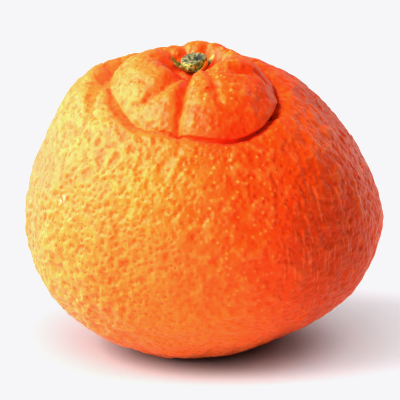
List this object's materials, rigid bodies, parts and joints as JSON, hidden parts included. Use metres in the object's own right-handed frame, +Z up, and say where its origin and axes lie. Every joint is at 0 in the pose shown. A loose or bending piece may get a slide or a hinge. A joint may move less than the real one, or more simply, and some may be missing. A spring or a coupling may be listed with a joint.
{
  "type": "mandarin",
  "caption": "Whole mandarin with a raised, furrowed collar round its cut stem and pitted peel, resting on a small flat spot.",
  "frame": {"origin": "on the ground under the middle of the fruit", "axes": "+Z up from the ground; -Y is the side that the stem leans to; +X is to the right of someone who looks at that side"},
  "size_m": [0.0712, 0.069, 0.0613],
  "materials": {
    "peel": "waxy, pitted orange peel",
    "sepal": "dry, yellow-green, matt",
    "stem": "cut green wood, matt"
  },
  "bodies": {
    "root": {"fruit": "peel", "calyx": "sepal", "stem_stub": "stem"}
  },
  "joints": []
}
